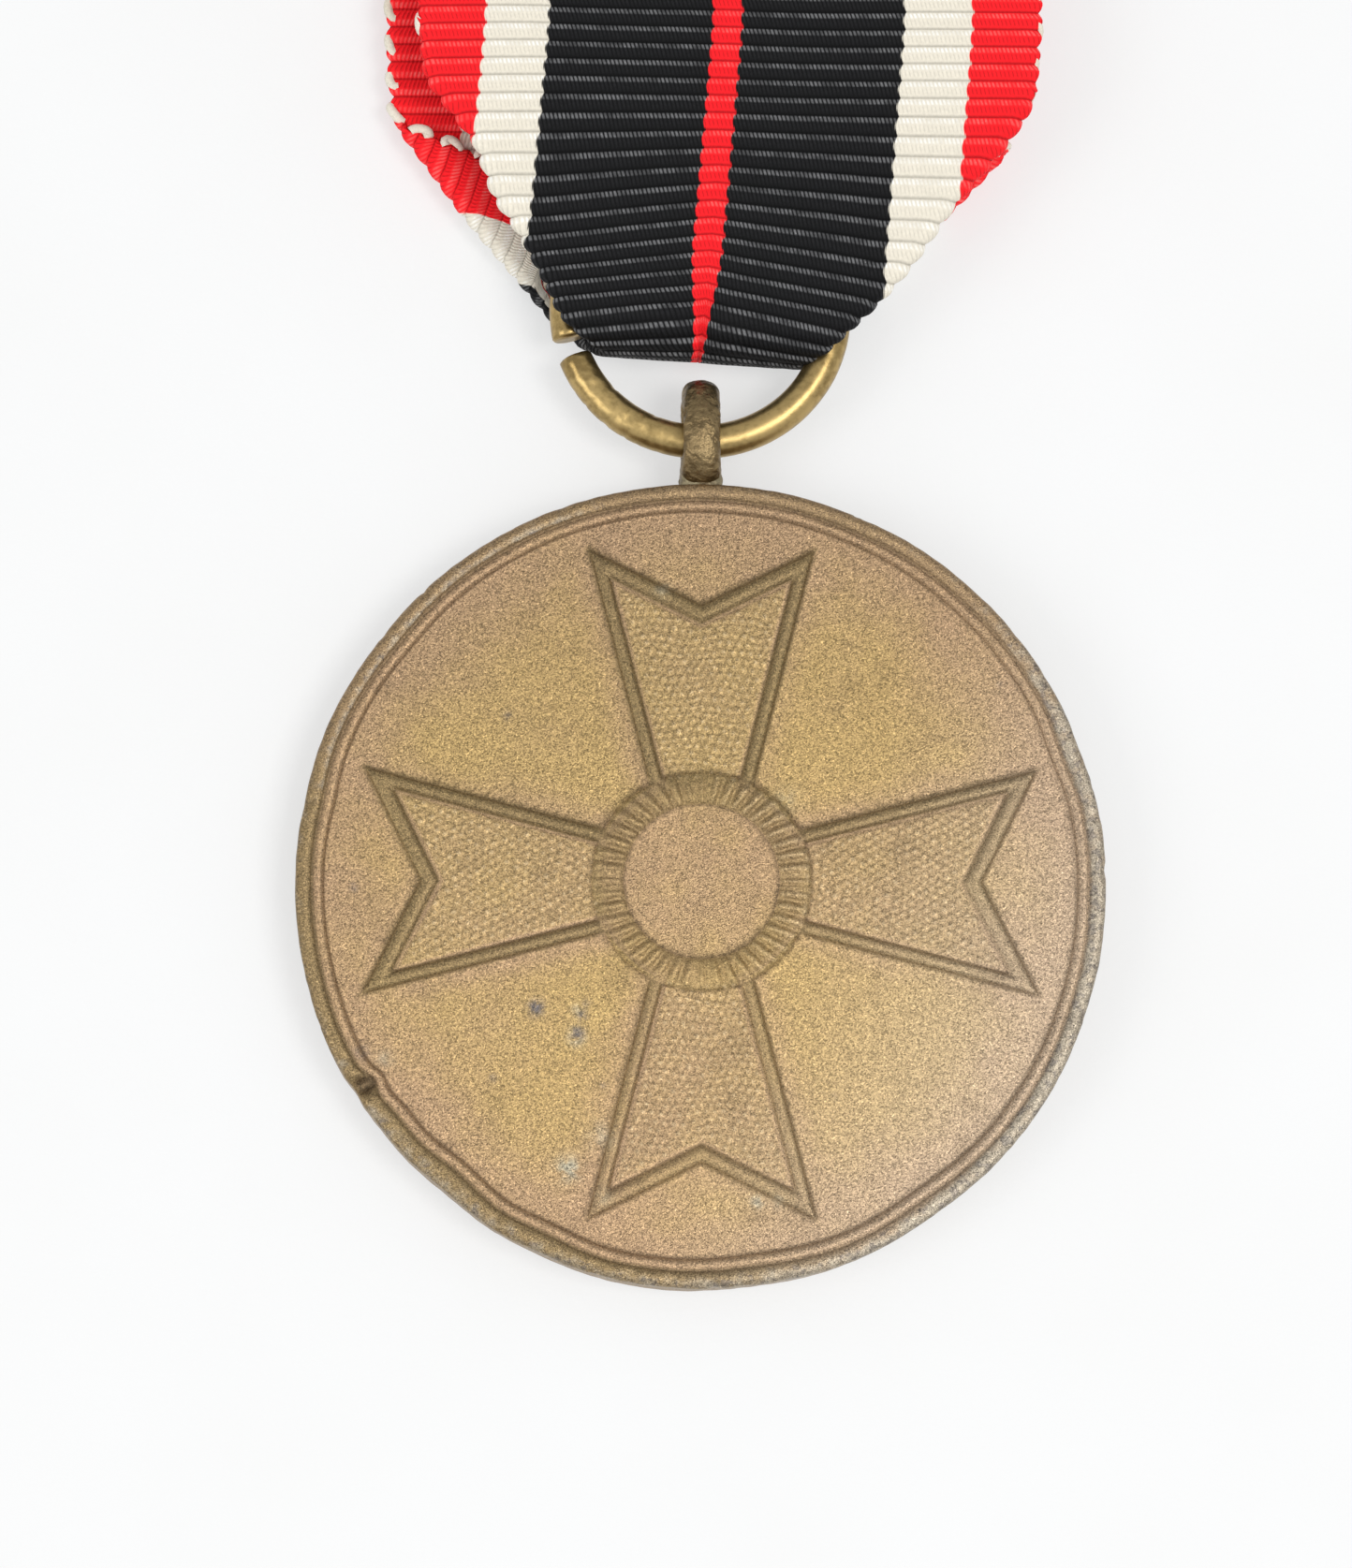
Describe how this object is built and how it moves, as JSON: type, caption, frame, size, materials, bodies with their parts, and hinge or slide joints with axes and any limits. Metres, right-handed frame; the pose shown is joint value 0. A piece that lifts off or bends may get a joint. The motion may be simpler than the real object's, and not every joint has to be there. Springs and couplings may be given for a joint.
{
  "type": "service medal on a folded ribbon",
  "caption": "Round struck medal with a relief cross and wreath, hung by an eyelet and a split wire ring from a folded striped ribbon with a sewn pin brooch.",
  "frame": {"origin": "centre of the medal's reverse face, on the plain tablet that is level with the rim", "axes": "+Z out of the obverse, away from the surface it lies on; +Y from the medal up the ribbon; +X to the right of the face"},
  "size_m": [0.0324, 0.0815, 0.0052],
  "materials": {
    "bronze": "struck and patinated, worn bright on the rim",
    "eyelet_bronze": "rough cast, rubbed bright on top",
    "solder": "dull grey solder",
    "ring_brass": "drawn wire, tarnished satin",
    "ribbon": "ribbed silk",
    "brooch_metal": "rolled sheet, tarnished",
    "steel": "aged bright steel",
    "thread": "waxed linen thread"
  },
  "bodies": {
    "head": {"brooch_plate": "brooch_metal", "ribbon_head": "ribbon", "ribbon_end": "ribbon", "hinge_bracket": "brooch_metal", "hinge_rivet": "steel", "needle_catch": "brooch_metal", "stitches": "thread"},
    "ribbon": {"ribbon_front": "ribbon", "ribbon_turn": "ribbon", "ribbon_back": "ribbon"},
    "ring": {"suspension_ring": "ring_brass"},
    "medal": {"medal_disc": "bronze", "eyelet": "eyelet_bronze", "solder_foot": "solder"},
    "needle": {"needle": "steel"}
  },
  "joints": [
    {"name": "ribbon_bend", "type": "hinge", "parent": "head", "child": "ribbon", "pos_m": [0, 0.0555, 0.0025], "axis": [1, 0, 0], "range_deg": [-80, 80]},
    {"name": "ring_slide", "type": "slide", "parent": "ribbon", "child": "ring", "axis": [0, -1, 0], "range_m": [0, 0.003]},
    {"name": "medal_swing", "type": "hinge", "parent": "ring", "child": "medal", "pos_m": [0, 0.01825, 0.0012], "axis": [1, 0, 0], "range_deg": [-110, 110]},
    {"name": "needle_open", "type": "hinge", "parent": "head", "child": "needle", "pos_m": [-0.0095, 0.0605, -0.00085], "axis": [0, 1, 0], "range_deg": [0, 100]}
  ]
}
